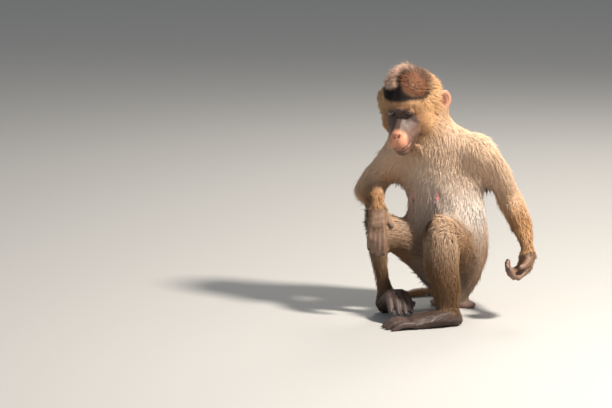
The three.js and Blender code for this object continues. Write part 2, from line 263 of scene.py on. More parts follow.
# %% Finer faces on the face itself
def refine(piece, back, half_width, bottom, top):
    """Halves the edges of a box of the face, given in head millimetres."""
    bm = bmesh.new()
    bm.from_mesh(piece.data)
    bm.verts.ensure_lookup_table()
    h = in_head([v.co for v in bm.verts])
    face = (h[:, 1] > back) & (np.abs(h[:, 0]) < half_width) & (h[:, 2] > bottom) & (h[:, 2] < top)
    edges = [e for e in bm.edges if face[e.verts[0].index] and face[e.verts[1].index]]
    bmesh.ops.subdivide_edges(bm, edges=edges, cuts=1, use_grid_fill=True, smooth=0)
    bmesh.ops.triangulate(bm, faces=[f for f in bm.faces if len(f.verts) > 3])
    bm.to_mesh(piece.data)
    bm.free()


refine(skin, 28, 34, -80, 20)
refine(skin, 72, 17, -68, -14)  # nose and lips
skin.data.calc_loop_triangles()
print("skin with a fine face", len(skin.data.loop_triangles), "triangles")

# %% [markdown]
# ## Blurring over the skin
# Many steps need the average of a point's neighbours: to smooth the shape, to spread a colour, to
# comb a direction. Blender's smooth operator moves points only. With the edges as two columns of
# numbers, one bincount per coordinate averages anything.

# %% Averages over neighbours
class Net:
    """The skin's edges, and averages along them."""

    def __init__(self, mesh):
        ends = np.empty(len(mesh.edges) * 2, np.int32)
        mesh.edges.foreach_get("vertices", ends)
        self.a, self.b = ends.reshape(-1, 2).T
        self.size = len(mesh.vertices)
        self.degree = np.bincount(ends, minlength=self.size).clip(1)

    def around(self, values):
        flat = values.reshape(self.size, -1)
        out = np.empty_like(flat)
        for k in range(flat.shape[1]):
            out[:, k] = (np.bincount(self.a, flat[self.b, k], self.size)
                         + np.bincount(self.b, flat[self.a, k], self.size)) / self.degree
        return out.reshape(values.shape)

    def blurred(self, values, times, strength=1.0):
        values = values.astype(float)
        amount = np.broadcast_to(np.asarray(strength, float), (self.size,))
        amount = amount.reshape((-1,) + (1,) * (values.ndim - 1))
        for _ in range(times):
            values = values + amount * 0.7 * (self.around(values) - values)
        return values


def step(low, high, x):
    t = np.clip((x - low) / (high - low), 0, 1)
    return t * t * (3 - 2 * t)


net = Net(skin.data)
rest = points_of(skin.data)
owner = nearest_node(rest)
share = net.blurred(np.eye(len(FLESH))[owner], 14)
part = {name: share[:, i] for i, name in enumerate(FLESH)}


def on(*starts):
    """How much of each point belongs to the nodes whose names start so, from 0 to 1."""
    return sum(value for name, value in part.items() if name.startswith(starts))


print("points of skin", net.size)

# %% [markdown]
# ## Where the face is bare
# Macaques have a bare face inside a ring of short hair: brow to chin, and out to the cheekbones.
# A rounded oval seen from the front of the head gives that ring. Hands, feet, ears and sitting pads
# are bare or nearly so. One number per point says how furred it is.

# %% How furred each point is
def ring(h, side, low, high):
    """0 in the middle of an oval on the front of the head, 1 on its edge."""
    centre = (low + high) / 2
    return np.cbrt(np.abs(h[:, 0] / side) ** 3 + np.abs((h[:, 2] - centre) / ((high - low) / 2)) ** 3)


def ring_from(h, centre, size):
    return np.sqrt(np.square((h - np.array(centre)) / np.array(size)).sum(axis=1))


FACE_OVAL = (32, -94, 13)  # half its width, chin and brow, in head millimetres
h_rest = in_head(rest)
is_front = step(6, 22, h_rest[:, 1])
oval = ring(h_rest, *FACE_OVAL)
bare_face = on("head") * is_front * (1 - step(0.86, 1.06, oval))
bare = np.clip(bare_face + on("hand", "foot", "ear", "sitting_pad"), 0, 1)
furred = 1 - step(0.25, 0.8, bare)
print("furred share", round(float(furred.mean()), 3))

# %% [markdown]
# ## Under the coat
# The part's surface is the tips of the hair, so the skin lies deeper wherever hair stands on it.
# First the joints between parts are smoothed as muscle and hide would bridge them, most on the body
# and hardly at all on fingers. Then each point goes in along its normal by its own coat depth.

# %% Smooth the joins and go in by the depth of the coat
COAT_DEPTH = {
    "trunk": 9, "neck": 13, "head": 9, "tail": 2.5, "upper_arm": 9, "forearm": 7.5,
    "thigh": 8, "shin": 7, "hand": 0.3, "foot": 0.3, "ear": 0.3, "sitting_pad": 0.2,
}


def depth_of_coat():
    deep = sum(on(name) * value for name, value in COAT_DEPTH.items())
    deep = net.blurred(deep * furred, 6)
    return deep * (1 - 0.9 * on("head") * is_front * step(2.0, 1.0, oval)) * MM


body_only = np.clip(on("trunk", "neck", "thigh", "upper_arm", "shin", "forearm"), 0, 1)
co = net.blurred(rest, 26, body_only)
co = net.blurred(co, 5, 0.6 * on("head", "tail") * (1 - bare_face))
co = net.blurred(co, 3, 0.55 * np.clip(bare - bare_face, 0, 1))
co = net.blurred(co, 24, 0.9 * bare_face)
skin.data.vertices.foreach_set("co", co.astype(np.float32).ravel())
skin.data.update()
out = net.blurred(normals_of(skin.data), 4)
out /= np.linalg.norm(out, axis=1, keepdims=True)
depth = depth_of_coat()
co = co - out * depth[:, None]
co = net.blurred(co, 3, 0.6 * furred)
co[:, 2] = co[:, 2].clip(0, None)
print("coat depth up to", round(float(depth.max() / MM), 1), "mm")

# %% [markdown]
# ## Modelling the face
# The wrapped head is a smooth lump with a muzzle. A sculptor would work on it with a thumb and a
# loop tool, and so do these cells: press moves a soft oval of skin in or out along its normal, and
# groove cuts or raises a line. Both take a place by how far it is to the side and how far up, find
# the skin there from straight ahead, and work on left and right at once.

# %% Find places on the face
def refreshed(points):
    skin.data.vertices.foreach_set("co", points.astype(np.float32).ravel())
    skin.data.update()
    return normals_of(skin.data)


def skin_tree():
    return BVHTree.FromPolygons([tuple(p) for p in co], triangles_of(skin.data).tolist())


def smooth_curve(turns, count=70):
    """Points on a smooth curve through the given ones."""
    turns = np.array(turns, float)
    t = np.linspace(0, len(turns) - 1, count)
    i = t.astype(int).clip(0, len(turns) - 2)
    f = (t - i)[:, None]
    before, after = turns[(i - 1).clip(0)], turns[(i + 2).clip(None, len(turns) - 1)]
    a, b = turns[i], turns[i + 1]
    m, n = (b - before) / 2, (after - a) / 2
    return ((2 * f**3 - 3 * f**2 + 1) * a + (f**3 - 2 * f**2 + f) * m
            + (3 * f**2 - 2 * f**3) * b + (f**3 - f**2) * n)


def laid(*turns):
    """A smooth curve on the face through places given by side and up, in head millimetres."""
    curve = smooth_curve(turns) if len(turns) > 1 else np.array(turns, float)
    starts = [Vector(from_head(side, 160, rise)) for side, rise in curve]
    return in_head([tree.ray_cast(start, -head_front)[0] for start in starts])


def along(points, curve):
    """Distance to the curve, mirrored to both sides, and the place along it from 0 to 1."""
    h = in_head(points)
    h[:, 0] = np.abs(h[:, 0])
    least, place = np.full(len(h), np.inf), np.zeros(len(h))
    for k, c in enumerate(curve):
        away = np.linalg.norm(h - c, axis=1)
        place[away < least] = k / (len(curve) - 1)
        least = np.minimum(least, away)
    return least, place


# %% Thumb and loop tool
def press(points, normals, spot, size, amount):
    """Moves an oval of skin by amount mm. size is its reach to the side, ahead and up."""
    h = in_head(points)
    h[:, 0] = np.abs(h[:, 0])
    away = np.square((h - laid(spot)[0]) / np.array(size)).sum(axis=1)
    return points + normals * (np.exp(-away) * amount * MM)[:, None]


def groove(points, normals, curve, width, amount, taper=0.35):
    """Raises a line of skin by amount mm, or cuts it where amount is below zero."""
    away, place = along(points, curve)
    fade = np.sin(pi * place.clip(0.04, 0.96)) ** taper
    return points + normals * (np.exp(-np.square(away / width)) * fade * amount * MM)[:, None]


# %% Model brow, muzzle, nose, mouth and chin
THUMB = (  # place by side and up, reach to the side, ahead and up, amount in mm
    ((0, -5), (8, 14, 8), -1.5),  # root of the nose
    ((10, -14), (5, 12, 8), -1.6),  # flank of the nose
    ((25, -16), (9, 16, 8), 1.6),  # cheekbone
    ((23, -34), (7, 16, 11), -2.0),  # hollow behind the muzzle
    ((0, -24), (5, 9, 5), 1.6),  # tip of the nose
    ((8, -27), (3.4, 6, 4.4), 2.2),  # wing of the nostril
    ((8, -47), (8, 9, 7), 1.8),  # upper lip
    ((0, -70), (12, 13, 9), 5.5),  # chin
)
tree = skin_tree()
no = refreshed(co)
for spot, size, amount in THUMB:
    co = press(co, no, spot, size, amount)
no = refreshed(co)
tree = skin_tree()

MOUTH = laid((-3, -56), (4, -56), (9, -56.5), (15, -55.5), (20, -52.5), (23, -48))
NOSTRIL = laid((2.2, -33.5), (3.6, -32.6), (5.4, -31), (7.0, -28.2))
UPPER_LIP = laid((-3, -52.8), (5, -53), (12, -52.4), (18, -49.5))
LOWER_LIP = laid((-3, -59.6), (6, -60), (13, -58.5), (18, -55.5))
PHILTRUM = laid((0, -35), (0, -40), (0, -46), (0, -53))
CHEEK_FOLD = laid((8, -17), (14, -26), (19, -35), (23, -44))
UNDER_EYE = laid((7, -8), (13, -11.5), (21, -11.5), (27, -7))
for curve, width, amount in ((UPPER_LIP, 2.2, 1.3), (LOWER_LIP, 2.6, 2.2), (CHEEK_FOLD, 2.0, -0.9),
                             (UNDER_EYE, 1.6, -0.8), (PHILTRUM, 1.4, -0.8)):
    co = groove(co, no, curve, width, amount)
no = refreshed(co)
co = groove(co, no, MOUTH, 1.3, -3.4, 0.2)
co = groove(co, no, NOSTRIL, 1.6, -4.6, 0.2)
co = net.blurred(co, 1, 0.5 * bare_face)
print("mouth from", MOUTH[0].round(1), "to", MOUTH[-1].round(1))

# %% [markdown]
# ## Eyelids
# Each lid is a thin sheet that lies on the eyeball. Skin near an eye is put at a set distance from
# the eye's middle: outside an almond it lies a lid's thickness over the glass, and inside the almond
# it drops behind the glass, so that the eye shows. A low upper edge gives the calm, downward look.

# %% Lay the lids on the eyes
EYE_RADIUS = (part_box("eye_left")[1][2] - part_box("eye_left")[0][2]) / 2 / MM
LID, LID_ROLL, LID_REACH = 1.1, 0.6, 9.5  # thickness, thicker rim, and how far the lid pulls the skin
LID_FULL = 3.0  # so near the glass, the skin is all lid
BEHIND_GLASS = 2.2
OPENING = dict(half_width=8.6, upper=4.3, lower=4.0, tilt=0.10, drop=1.6)


def lids(points, side):
    h = in_head(points)
    eye = in_head([middle("eye_" + side)])[0]
    d = h - eye
    r = np.linalg.norm(d, axis=1)
    across = d[:, 0] * (1 if side == "left" else -1)
    close = (r < EYE_RADIUS + LID_REACH) & (d[:, 1] > -1)
    level = d[:, 2] - OPENING["tilt"] * across + OPENING["drop"]
    bow = 1 - np.square(np.clip(across / OPENING["half_width"], -1, 1))
    edge = np.where(level > 0, OPENING["upper"], OPENING["lower"]) * bow
    inside = (np.abs(level) < edge) & (np.abs(across) < OPENING["half_width"]) & (d[:, 1] > 2)
    lid_r = EYE_RADIUS + LID + LID_ROLL * np.exp(-np.square((np.abs(level) - edge) / 1.4))
    hold = 1 - step(EYE_RADIUS + LID_FULL, EYE_RADIUS + LID_REACH, r)
    target = np.where(inside, EYE_RADIUS - BEHIND_GLASS, r * (1 - hold) + lid_r * hold)
    h[close] = eye + d[close] * (target / r.clip(1e-6))[close, None]
    return np.array(head_middle) + (h @ head_axes) * MM, close & inside


co, open_left = lids(co, "left")
co, open_right = lids(co, "right")
eye_away = np.min([mm_from(co, middle("eye_" + side)) for side in ("left", "right")], axis=0)
soften = (eye_away > EYE_RADIUS + 0.4) & (eye_away < EYE_RADIUS + LID_REACH + 3)
co = net.blurred(co, 3, 0.6 * soften * on("head"))
no = refreshed(co)
print("eye openings", int(open_left.sum()), int(open_right.sum()), "points")

# %% Two nipples on the chest
def on_front(x, z):
    """The skin's point at x and z, seen from the front."""
    return np.array(skin_tree().ray_cast(Vector((x, -1, z)), Vector((0, 1, 0)))[0])


CHEST_LINE = 0.58  # of the trunk's height
NIPPLE_SHIFTS = (0.013, 0.056)  # to the left of the head's middle
NIPPLE_SHAPE = (1, 1, 0.6)  # longer than it is wide
NIPPLE_BASE, NIPPLE_TIP = (7.0, 2.4), (3.0, 7.0)  # width and height in mm
trunk_low, trunk_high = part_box("trunk")
chest_height = trunk_low[2] + CHEST_LINE * (trunk_high[2] - trunk_low[2])
nipples = [on_front(head_middle.x + shift, chest_height) for shift in NIPPLE_SHIFTS]
for spot in nipples:
    away = mm_from(co, spot, NIPPLE_SHAPE)
    for width, height in (NIPPLE_BASE, NIPPLE_TIP):
        co += no * (height * np.exp(-np.square(away / width)) * MM)[:, None]
no = refreshed(co)
smooth(skin.data)
print("nipples at", [[round(float(v), 3) for v in spot] for spot in nipples])

# %% [markdown]
# ## Eyes and nails
# The eyes are glass balls in a real model: a dark brown iris, a wide pupil, a faint bulge in front.
# A ball with its pole turned to the front has its rings round the gaze, so the ring's angle is all
# the material needs to paint pupil, iris and white. The nails are horn. They are the part's own
# nails, merged and made smooth.

# %% Glass eyes
GAZE = (head_front + head_side * 0.10 + head_up * 0.06).normalized()
CORNEA_ANGLE, CORNEA_BULGE = radians(38), 0.9 * MM


def eyeball(side):
    bm = bmesh.new()
    bmesh.ops.create_uvsphere(bm, u_segments=48, v_segments=40, radius=EYE_RADIUS * MM)
    turn = Vector((0, 0, 1)).rotation_difference(GAZE).to_matrix()
    angle = {}
    for v in bm.verts:
        off = v.co.angle(Vector((0, 0, 1)))
        angle[v.index] = off
        bulge = CORNEA_BULGE * max(0.0, 1 - (off / CORNEA_ANGLE) ** 2)
        v.co += v.co.normalized() * bulge
        v.co = turn @ v.co + middle("eye_" + side)
    for f in bm.faces:
        f.smooth = True
    bm.verts.index_update()
    ball = made("glass_eye_" + side, bm)
    off_axis = ball.data.attributes.new("off_axis", "FLOAT", "POINT")
    off_axis.data.foreach_set("value", [angle[i] for i in range(len(angle))])
    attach(ball, "root")
    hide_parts("eye_" + side)
    return ball


eyeballs = [eyeball("left"), eyeball("right")]

# %% Horn nails
NAILS = [name for name in nodes if name.startswith("nail_")]
nails = made("nails", gathered(NAILS, 0.0))
round_off = nails.modifiers.new("round_off", "SUBSURF")
round_off.levels = round_off.render_levels = 1
settled(nails)
smooth(nails.data)
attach(nails, "root")
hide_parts(*NAILS)
print("nails", len(NAILS), "eyes", len(eyeballs))

# %% [markdown]
# ## The lie of the coat
# Hair runs from a shoulder to a wrist, from a hip to an ankle and down the back and belly. On the
# head it streams back from the face and opens like a star round a whorl on the crown. Combing
# curves by hand is one way. Here each region gives one plain direction, and blurring joins them.

# %% Long axes and directions of the parts
WHORL = np.array((22, 13, 38.0))  # in head millimetres, as all places on the head are
NOSE_TIP = np.array((0, 70, -20.0))
NEXT = {"upper_arm": "forearm", "forearm": "hand", "thigh": "shin", "shin": "foot"}
BEFORE = {"hand": "forearm", "foot": "shin"}


def unit(vectors):
    return vectors / np.linalg.norm(vectors, axis=-1, keepdims=True).clip(1e-9)


def long_axis(name):
    """The node's longest direction, and the middle of its points."""
    points = points_of(nodes[name].data)
    centre = points.mean(axis=0)
    return np.linalg.svd(points - centre, full_matrices=False)[2][0], centre


def limb_direction(name):
    """The long axis of part of a limb, pointing away from the trunk."""
    axis, centre = long_axis(name)
    kind, side = name.rsplit("_", 1)
    if kind in NEXT:
        onward = np.array(middle(NEXT[kind] + "_" + side)) - centre
    else:
        onward = centre - np.array(middle(BEFORE[kind] + "_" + side))
    return axis * np.sign(axis @ onward)


def head_direction(h):
    from_nose = unit(h - NOSE_TIP)
    from_whorl = unit((h - WHORL) * (1, 1, 0.4))
    crown = step(70, 35, np.linalg.norm(h - WHORL, axis=1))[:, None]
    return ((from_nose + (0, -0.4, -0.35)) * (1 - crown) + from_whorl * crown * 1.5) @ head_axes


# %% Which way the hair lies
def combed():
    lie = np.zeros_like(co)
    down = np.array((0, 0, -1.0))
    for name in FLESH:
        kind = name.rsplit("_", 1)[0]
        if kind in NEXT or kind in BEFORE:
            way = limb_direction(name)
        else:
            way = head_direction(in_head(co)) if name == "head" else down
        lie += part[name][:, None] * way
    return lie


out = unit(net.blurred(normals_of(skin.data), 3))
lie = combed()
for _ in range(4):
    lie = net.blurred(lie, 6, furred * 0.9 + 0.1)
    lie = unit(lie - (lie * out).sum(axis=1, keepdims=True) * out)
print("combed", len(lie), "points")

# %% [markdown]
# ## Length and thickness of the coat
# Short on the brow and shins, long and loose on the mantle, thin on the belly. Each region has one
# length in millimetres, blurred like the rest. The number of tufts goes by area and by how dense the
# region is, so no bald seam is left between pieces.

# %% How long the hair is
HAIR_LENGTH = {
    "trunk": 24, "neck": 27, "head": 17, "tail": 7, "upper_arm": 23, "forearm": 19,
    "thigh": 19, "shin": 15, "hand": 6, "foot": 5, "ear": 4, "sitting_pad": 2,
}
CREST_TOP = ((-10, 4, 60), (34, 36, 30))  # the middle of an oval and its reach
CREST_MIDDLE = (0, 0, 58)
h_skin = in_head(co)
hair_length = net.blurred(sum(on(name) * value for name, value in HAIR_LENGTH.items()), 8)
near_face = on("head") * step(-10, 25, h_skin[:, 1])
hair_length = hair_length * (1 - near_face * 0.25)
brow = on("head") * step(10, 30, h_skin[:, 1]) * step(-4, 10, h_skin[:, 2])
face_edge = on("head") * is_front * step(1.9, 0.95, ring(h_skin, *FACE_OVAL))
hair_length = hair_length * (1 - 0.45 * brow) * (1 - 0.55 * face_edge)
temple = on("head") * step(30, 44, np.abs(h_skin[:, 0])) * step(-30, 0, h_skin[:, 2])
hair_length = hair_length * (1 + 0.35 * temple)
for side in ("left", "right"):
    over_eye = step(24, 15, mm_from(co, middle("eye_" + side)))
    hair_length = hair_length * (1 - 0.5 * on("head") * over_eye)
for spot in nipples:  # long hair would hang over them
    beside = mm_from(co, spot + np.array((0, 0, 11)) * MM, (1.2, 1, 0.6))
    hair_length = hair_length * (1 - 0.72 * step(17, 9, beside))
crest_top = on("head") * step(1.2, 0.6, ring_from(h_skin, *CREST_TOP))
hair_length = hair_length * (1 + 0.45 * crest_top)
crest_stands = on("head") * step(58, 30, np.linalg.norm(h_skin - np.array(CREST_MIDDLE), axis=1))
print("hair from", round(float(hair_length.min()), 1), "to", round(float(hair_length.max()), 1), "mm")

# %% [markdown]
# ## Markings, painted shade and painted light
# One function gives the coat's colour at every point of the skin, and both the skin under the hair
# and the tufts on it take their colours from there. A pig-tailed macaque is golden brown on the
# outside of the limbs and the back and nearly white in front, and wears a black cap. The same function
# paints shade into the creases where the limbs meet the body, and light onto the top of each knee.

# %% Colours of the animal, and of the shade painted in its creases
def tone(red, green, blue):
    """A colour from its usual 0 to 255 values, made linear."""
    c = np.array((red, green, blue)) / 255
    return np.where(c < 0.04045, c / 12.92, ((c + 0.055) / 1.055) ** 2.4)


CREAM, SAND, GOLD = tone(228, 198, 172), tone(198, 158, 118), tone(176, 130, 88)
UMBER, CAP, WHORL_BROWN = tone(104, 74, 46), tone(26, 19, 17), tone(120, 78, 52)
CREST, CHEEK, CHEEK_DARK = tone(228, 186, 162), tone(206, 162, 118), tone(134, 92, 60)
CREASE_SHADE, LEG_GOLD = tone(84, 58, 38), tone(152, 110, 70)
CAP_BROWN, HAND_HAIR, FOOT_HAIR = tone(84, 56, 40), tone(150, 118, 88), tone(84, 64, 52)
WHITE, BROW_PALE = tone(246, 240, 234), tone(222, 166, 124)


def blend(base, colour, amount):
    amount = np.clip(amount, 0, 1)[:, None]
    return base * (1 - amount) + colour * amount


def paint(mesh, colours):
    """Colours, one for each point, as the attribute that the materials read."""
    rgba = np.concatenate([colours, np.ones((len(colours), 1))], axis=1)
    attribute = mesh.color_attributes.new("markings_painted_shade_and_light", "FLOAT_COLOR", "POINT")
    attribute.data.foreach_set("color", rgba.astype(np.float32).ravel())


print("golden hair is", GOLD.round(3), "once linear")

# %% Markings of the body and the head, with painted shade in the creases and painted light on the knees
KNEE_SHIFT, KNEE_REACH = np.array((0, -20, 60)) * MM, 62
BELLY_TOP, HAUNCH_TOP, CREASE_SHADE_TOP = (262, 225), (200, 165), (300, 260)  # heights: none, then full
SEAT_MIDDLE, SEAT_EDGE = 10, (10, 45)
CROWN = ((0, 2, 59), (50, 54, 56))  # ovals on the head: middle and reach
CREST_SPOT, WHORL_SPOT = ((-14, 6, 60), (31, 33, 27)), (WHORL, (22, 25, 21))
BROW_BAR, FACE_RIM = ((11, 44, 13), (14, 12, 4.5)), (34, -94, 14)
height_mm, side_mm = co[:, 2] / MM, co[:, 0] / MM


def knee_highlight(side):
    """1 on the top of a knee, where it is painted paler as if lit, fading to 0 at KNEE_REACH mm."""
    halfway = (np.array(middle("thigh_" + side)) + np.array(middle("shin_" + side))) / 2
    return step(KNEE_REACH, KNEE_REACH * 0.3, mm_from(co, halfway + KNEE_SHIFT))


def body_markings_painted_shade_and_light():
    colour = np.zeros_like(co) + SAND
    forward = step(-0.45, 0.45, -out[:, 1])
    for tint, names, amount in ((GOLD, ("forearm", "tail"), 0.85), (CREAM, ("upper_arm", "neck"), 0.7),
                                (LEG_GOLD, ("thigh",), 0.85), (UMBER, ("shin",), 0.95)):
        colour = blend(colour, tint, on(*names) * amount)
    # Painted light: the top of each knee is made paler, as where the light falls on it.
    for side in ("left", "right"):
        colour = blend(colour, CREAM, on("thigh", "shin") * knee_highlight(side) * 0.5)
    colour = blend(colour, CREAM, on("trunk", "neck") * forward * 0.9)
    colour = blend(colour, WHITE, on("trunk") * forward * step(*BELLY_TOP, height_mm))
    haunch = step(*HAUNCH_TOP, height_mm) * step(*SEAT_EDGE, np.abs(side_mm - SEAT_MIDDLE))
    colour = blend(colour, LEG_GOLD, on("trunk") * haunch * 0.9)
    # Painted shade: the creases where the limbs meet the body are darkened, as shade falls there.
    crease_shade = np.minimum(on("thigh", "shin", "upper_arm"), on("trunk", "neck"))
    crease_shade = crease_shade * step(*CREASE_SHADE_TOP, height_mm)
    colour = blend(colour, CREASE_SHADE, step(0.1, 0.42, crease_shade) * 0.85)
    colour = blend(colour, FOOT_HAIR, on("foot"))
    colour = blend(colour, HAND_HAIR, on("hand"))
    return blend(colour, CHEEK, on("head"))


def head_markings(colour):
    h = h_skin
    head = on("head")
    colour = blend(colour, CHEEK_DARK, head * step(1.42, 1.0, ring(h, *FACE_RIM)) * is_front * 0.7)
    crown = ring_from(h, *CROWN)
    colour = blend(colour, CAP_BROWN, head * step(1.12, 0.94, crown))
    colour = blend(colour, CAP, head * step(1.08, 0.98, crown) * step(-12, 8, h[:, 1]))
    crest = ring_from(h, *CREST_SPOT)
    colour = blend(colour, CREST, head * step(1.08, 0.8, crest))
    whorl = ring_from(h, *WHORL_SPOT)
    colour = blend(colour, CAP, head * step(1.3, 1.0, whorl))
    colour = blend(colour, WHORL_BROWN, head * step(1.0, 0.75, whorl))
    bar = ring_from(h, *BROW_BAR)
    return blend(colour, BROW_PALE, head * step(1.2, 0.7, bar))


coat_colour_painted_shade_and_light = net.blurred(head_markings(net.blurred(body_markings_painted_shade_and_light(), 24)), 2)
print("coat colours from", coat_colour_painted_shade_and_light.min().round(3), "to", coat_colour_painted_shade_and_light.max().round(3))

# %% [markdown]
# ## Tufts
# Loose hair is far too fine to model singly, and an export drops curve hair. A tuft is a thin
# three-sided spike of ten triangles that leaves the skin at a slant and bends over with the coat. The
# arrays below make thousands of them at once: roots, a slant, one bend, a tip.

# %% Make tufts at many roots
PATCH = 0.003
CORNERS = np.array([(0.0, 1.0), (-0.87, -0.5), (0.87, -0.5)])
ROOT_DEPTH = 0.8 * MM
BEND_AT, BEND_WIDTH = 0.5, 0.72  # shares of the length and of the width
LIES_OVER, FLATNESS = 0.75, 0.55


def tuft_points(root, up, along_skin, length, width, slant, droop):
    """Seven points for each tuft: three at the root, three at the bend and the tip."""
    across = unit(np.cross(along_skin, up))
    first = unit(along_skin * np.cos(slant)[:, None] + up * np.sin(slant)[:, None])
    second = unit(first - up * (np.sin(slant) * LIES_OVER)[:, None] + np.array((0, 0, -droop)))
    bend = root + first * (length * BEND_AT)[:, None]
    tip = bend + second * (length * (1 - BEND_AT))[:, None]
    raised = unit(np.cross(across, first))
    rings = []
    for base, wide in ((root - up * ROOT_DEPTH, width), (bend, width * BEND_WIDTH)):
        for side, lift in CORNERS:
            rings.append(base + across * (side * wide)[:, None]
                         + raised * (lift * FLATNESS * wide)[:, None])
    return np.stack(rings + [tip], axis=1)


TUFT_FACES = [(0, 2, 5, 3), (2, 1, 4, 5), (1, 0, 3, 4), (3, 5, 6), (5, 4, 6), (4, 3, 6), (0, 1, 2)]
TUFT_ACROSS = np.array((0.5, 0.0, 1.0, 0.5, 0.0, 1.0, 0.5))
TUFT_ALONG = np.array((0.0, 0.0, 0.0, 0.5, 0.5, 0.5, 1.0))


def tuft_piece(name, points):
    """All the tufts of one piece as one mesh, and the point that each of its loops uses."""
    count = len(points)
    corner = np.concatenate([np.array(face) for face in TUFT_FACES])
    sizes = np.array([len(face) for face in TUFT_FACES])
    mesh = bpy.data.meshes.new(name)
    mesh.vertices.add(count * 7)
    mesh.vertices.foreach_set("co", points.astype(np.float32).ravel())
    loops = (corner[None] + 7 * np.arange(count)[:, None]).ravel()
    mesh.loops.add(len(loops))
    mesh.loops.foreach_set("vertex_index", loops.astype(np.int32))
    starts = np.concatenate([[0], np.cumsum(np.tile(sizes, count))[:-1]])
    mesh.polygons.add(count * len(sizes))
    mesh.polygons.foreach_set("loop_start", starts.astype(np.int32))
    smooth(mesh)
    mesh.update(calc_edges=True)
    mesh.validate()
    return placed(name, mesh), loops


def loop_map(mesh, name, at_points, loops):
    uv = mesh.uv_layers.new(name=name)
    uv.uv.foreach_set("vector", at_points.reshape(-1, 2)[loops].astype(np.float32).ravel())


# %% [markdown]
# ## Where a tuft's colour is baked
# When the colours are baked, each tuft needs its own small patch of the picture, and neighbours on
# the skin should be neighbours there. Each node is unrolled like a label off a bottle, round its own
# long axis, and the labels of one coat piece are laid side by side.

# %% Unroll each node round its long axis
def unrolled(points, name):
    axis, centre = long_axis(name)
    side = unit(np.cross(axis, (0.3, 0.9, 0.31)))
    third = np.cross(axis, side)
    d = points - centre
    turn = np.arctan2(d @ third, d @ side) / (2 * pi) + 0.5
    reach = d @ axis
    low, high = np.percentile(reach, (0.5, 99.5))
    return np.stack([turn, ((reach - low) / (high - low)).clip(0, 1)], axis=1)


def patches(roots, owners, names):
    spot = np.zeros((len(roots), 2))
    for index, name in enumerate(names):
        mine = owners == FLESH.index(name)
        if mine.sum() > 5:
            label = unrolled(roots[mine], name)
            spot[mine] = (label * (0.94, 0.97) + (0.03 + index, 0.015)) / (len(names), 1)
    return spot


# %% [markdown]
# ## Setting the hair
# Every piece of coat takes some of the nodes. Roots are scattered over the skin in proportion to how
# much of each triangle belongs to those nodes. A slow random field pushes neighbours the same way, so
# that the coat breaks into locks.

# %% How dense the hair is, and how it wanders
owner = share.argmax(axis=1)


def hand_backs():
    """The wrist's half of each hand and foot."""
    upper = np.zeros(len(co))
    for name in FLESH:
        if name.startswith(("hand", "foot")):
            reach = (co - long_axis(name)[1]) @ limb_direction(name)
            low, high = np.percentile(reach[owner == FLESH.index(name)], (2, 98))
            upper += part[name] * step(0.62, 0.35, (reach - low) / (high - low))
    return upper


wander = unit(net.blurred(rng.normal(size=co.shape), 5)) * 0.5
wild = net.blurred(rng.normal(size=len(co)), 7)
wild /= wild.std()
hairy = np.clip(furred + 0.8 * hand_backs(), 0, 1)
hair_density = hairy * (1 - 0.1 * on("trunk") * step(-0.2, 0.7, -out[:, 1]))
for spot in nipples:  # the hair above a nipple would hang over it
    above = mm_from(co, spot + np.array((0, 0, 9)) * MM, (1, 1, 0.55))
    hair_density = hair_density * step(6, 11, above)
print("hair density", round(float(hair_density.mean()), 3))


# %% Set one piece of coat
LENGTHS, WIDTHS = (0.72, 1.15), (0.6, 1.25)  # least and most, as shares of the usual
LONG_ONES, LONG_BY = 0.93, 1.35
STRAY = 0.13
CREST_STANDS, CREST_TOP_STANDS = radians(16), radians(10)
LEAST_SLANT, MOST_SLANT = 0.12, 1.1
FLOOR_GAP = 0.4 * MM  # no hair goes through the floor


def coat(name, node_names, count, slot, width=0.82, slant=(25, 9), locks=0.5, droop=0.12):
    """width in mm, slant and its spread in degrees, locks and droop as shares."""
    weight = sum(part[n] for n in node_names) * hair_density * HALF_OF_TRUNK.get(name, 1.0)
    corners, shares = scattered(skin.data, count, weight)

    def pick(values):
        return mixed(values, corners, shares)

    root, up = pick(co), unit(pick(out))
    swing = unit(pick(lie) + pick(wander) * locks + rng.normal(size=root.shape) * STRAY)
    swing = unit(swing - (swing * up).sum(axis=1, keepdims=True) * up)
    length = pick(hair_length) * MM * rng.uniform(*LENGTHS, count)
    length *= np.where(rng.random(count) > LONG_ONES, LONG_BY, 1.0)
    wide = width * MM * rng.uniform(*WIDTHS, count)
    angle = radians(slant[0]) + radians(slant[1]) * (0.5 * pick(wild) + 0.6 * rng.normal(size=count))
    angle = angle + CREST_STANDS * pick(crest_stands) + CREST_TOP_STANDS * pick(crest_top)
    angle = (angle * (1 - 0.45 * pick(face_edge))).clip(LEAST_SLANT, MOST_SLANT)
    points = tuft_points(root, up, swing, length, wide, angle, droop)
    points[..., 2] = points[..., 2].clip(FLOOR_GAP, None)
    piece, loops = tuft_piece(name, points)
    paint_tufts(piece.data, pick(coat_colour_painted_shade_and_light), count)
    map_tufts(piece.data, patches(root, owner[corners[:, 0]], node_names), count, loops)
    soft = unit(normals_of(piece.data).reshape(-1, 7, 3) * 0.55 + up[:, None] * 0.75)
    piece.data.normals_split_custom_set_from_vertices(soft.reshape(-1, 3))
    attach(piece, "root")
    print(name, count, "tufts")
    return piece


def map_tufts(mesh, spot, count, loops):
    """One map that runs along each strand, and one with a small patch for each tuft."""
    local = np.stack([TUFT_ACROSS, TUFT_ALONG], axis=1)
    loop_map(mesh, "strand", local[None] + np.floor(rng.random((count, 1, 2)) * 90), loops)
    loop_map(mesh, "OFBake", spot[:, None] + local[None] * PATCH, loops)


DARK_ONES = 0.9
ROOT_TO_TIP = np.array((0, 0, 0, 0.75, 0.75, 0.75, 1.15))


